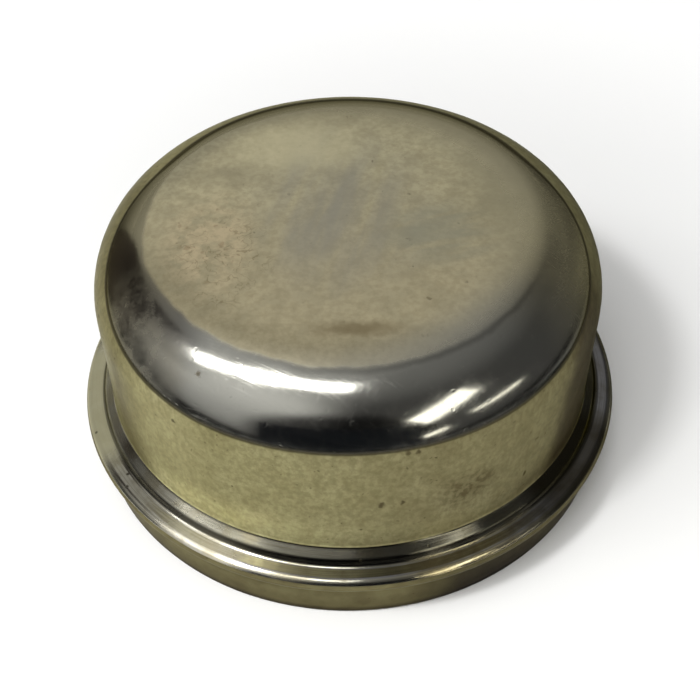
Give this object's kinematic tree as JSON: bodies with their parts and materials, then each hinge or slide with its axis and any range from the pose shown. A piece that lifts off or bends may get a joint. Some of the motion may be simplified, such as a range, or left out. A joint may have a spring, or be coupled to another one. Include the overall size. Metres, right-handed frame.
{
  "type": "wheel hub dust cap",
  "caption": "Round drawn sheet-metal dust cap for a wheel hub, with a rounded corner, a flat closed end, a folded stop lip and a press-in skirt, open at the bottom.",
  "frame": {"origin": "on the cap's axis, in the plane of the skirt's open edge, which the cap stands on", "axes": "+Z along the cap's axis, from the open edge to the closed end; X and Y are alike, because the cap is round"},
  "size_m": [0.0644, 0.0644, 0.0312],
  "materials": {
    "plated_steel": "bright plating gone olive and yellow with tarnish, dull and scuffed on the closed end, glossy on the corner and the lip"
  },
  "bodies": {
    "root": {"dust_cap": "plated_steel"}
  },
  "joints": []
}
